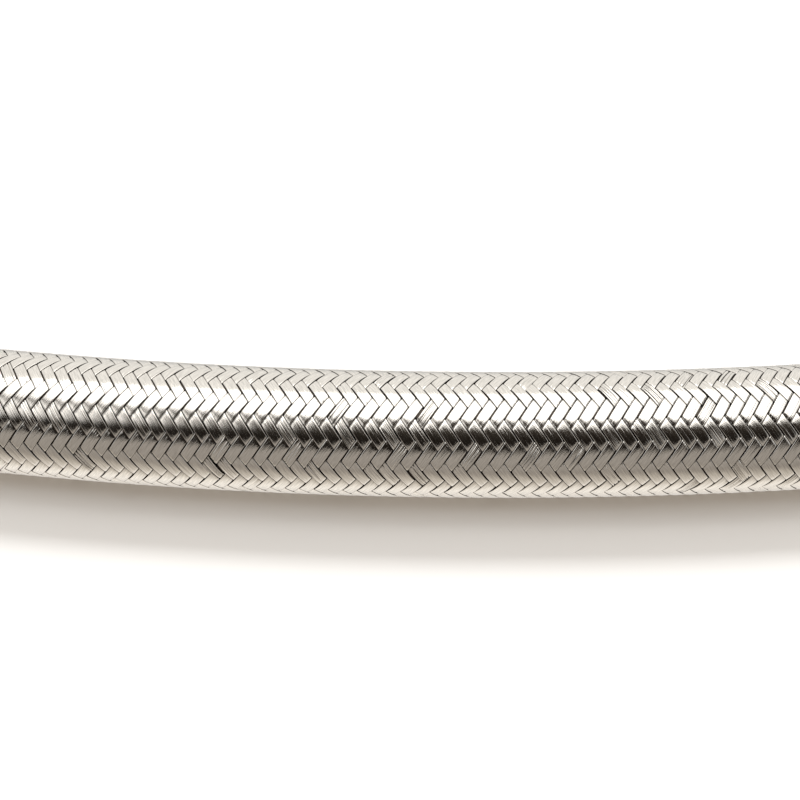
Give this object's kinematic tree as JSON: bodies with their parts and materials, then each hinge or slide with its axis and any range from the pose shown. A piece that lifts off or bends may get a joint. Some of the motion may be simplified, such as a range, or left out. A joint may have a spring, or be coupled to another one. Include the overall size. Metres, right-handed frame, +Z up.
{
  "type": "braided hose",
  "caption": "Cut length of rubber hose under a tight braid of flat stainless steel strands, lying in a gentle bend, for fuel, oil or coolant lines.",
  "frame": {"origin": "centre of the hose's footprint, on the surface it lies on", "axes": "+X along the hose at its middle, +Y towards the side that both ends bend to, +Z up"},
  "size_m": [0.1506, 0.026, 0.0199],
  "materials": {
    "liner_rubber": "matt black synthetic rubber, cut square",
    "braid_steel": "bright drawn stainless wire, plaited in flat strands"
  },
  "bodies": {
    "root": {"inner_liner": "liner_rubber", "steel_braid": "braid_steel"}
  },
  "joints": []
}
